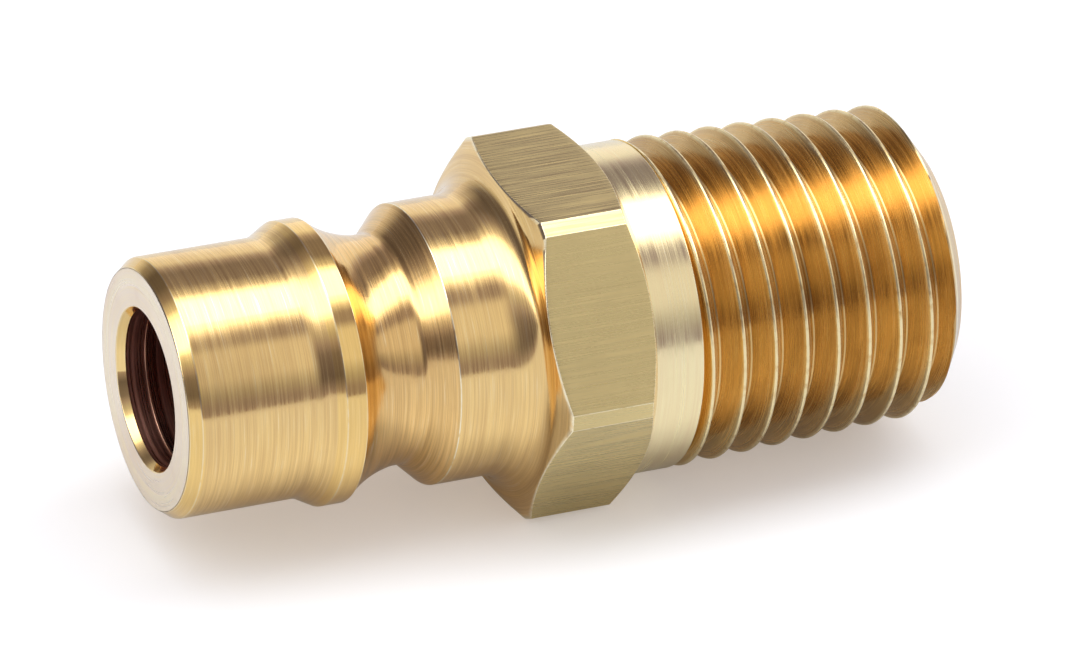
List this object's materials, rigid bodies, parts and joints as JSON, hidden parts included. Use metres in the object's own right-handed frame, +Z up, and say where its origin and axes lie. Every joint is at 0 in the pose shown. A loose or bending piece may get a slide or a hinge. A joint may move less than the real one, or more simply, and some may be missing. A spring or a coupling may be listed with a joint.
{
  "type": "quick disconnect coupler",
  "caption": "Male plug of a quick disconnect coupler: nose with locking collar and ball groove, hexagon and tapered pipe thread, with a spring-closed poppet valve inside.",
  "frame": {"origin": "on the turning axis, where the cylinder of the nose begins, 0.5 mm behind the nose face", "axes": "+X along the turning axis from the nose to the pipe thread; +Z up, with one flat of the hexagon facing down"},
  "size_m": [0.0338, 0.0158, 0.014],
  "materials": {
    "turned_brass": "turned, with fine tool lines; drawn flats on the hexagon",
    "valve_brass": "turned",
    "seal_rubber": "moulded nitrile",
    "stem_steel": "ground",
    "spring_steel": "drawn wire",
    "bush_plastic": "machined white bearing plastic",
    "ring_steel": "spring steel"
  },
  "bodies": {
    "body": {"plug_body": "turned_brass", "valve_spring": "spring_steel", "stem_guide": "valve_brass", "guide_bush": "bush_plastic", "retaining_ring": "ring_steel"},
    "valve": {"valve_head": "valve_brass", "seat_seal": "seal_rubber", "seal_washer": "valve_brass", "valve_stem": "stem_steel"}
  },
  "joints": [
    {"name": "valve_lift", "type": "slide", "parent": "body", "child": "valve", "axis": [1, 0, 0], "range_m": [0, 0.0023], "stiffness_N_per_m": 600, "springref_m": -0.0025, "deforming": ["valve_spring"]}
  ]
}
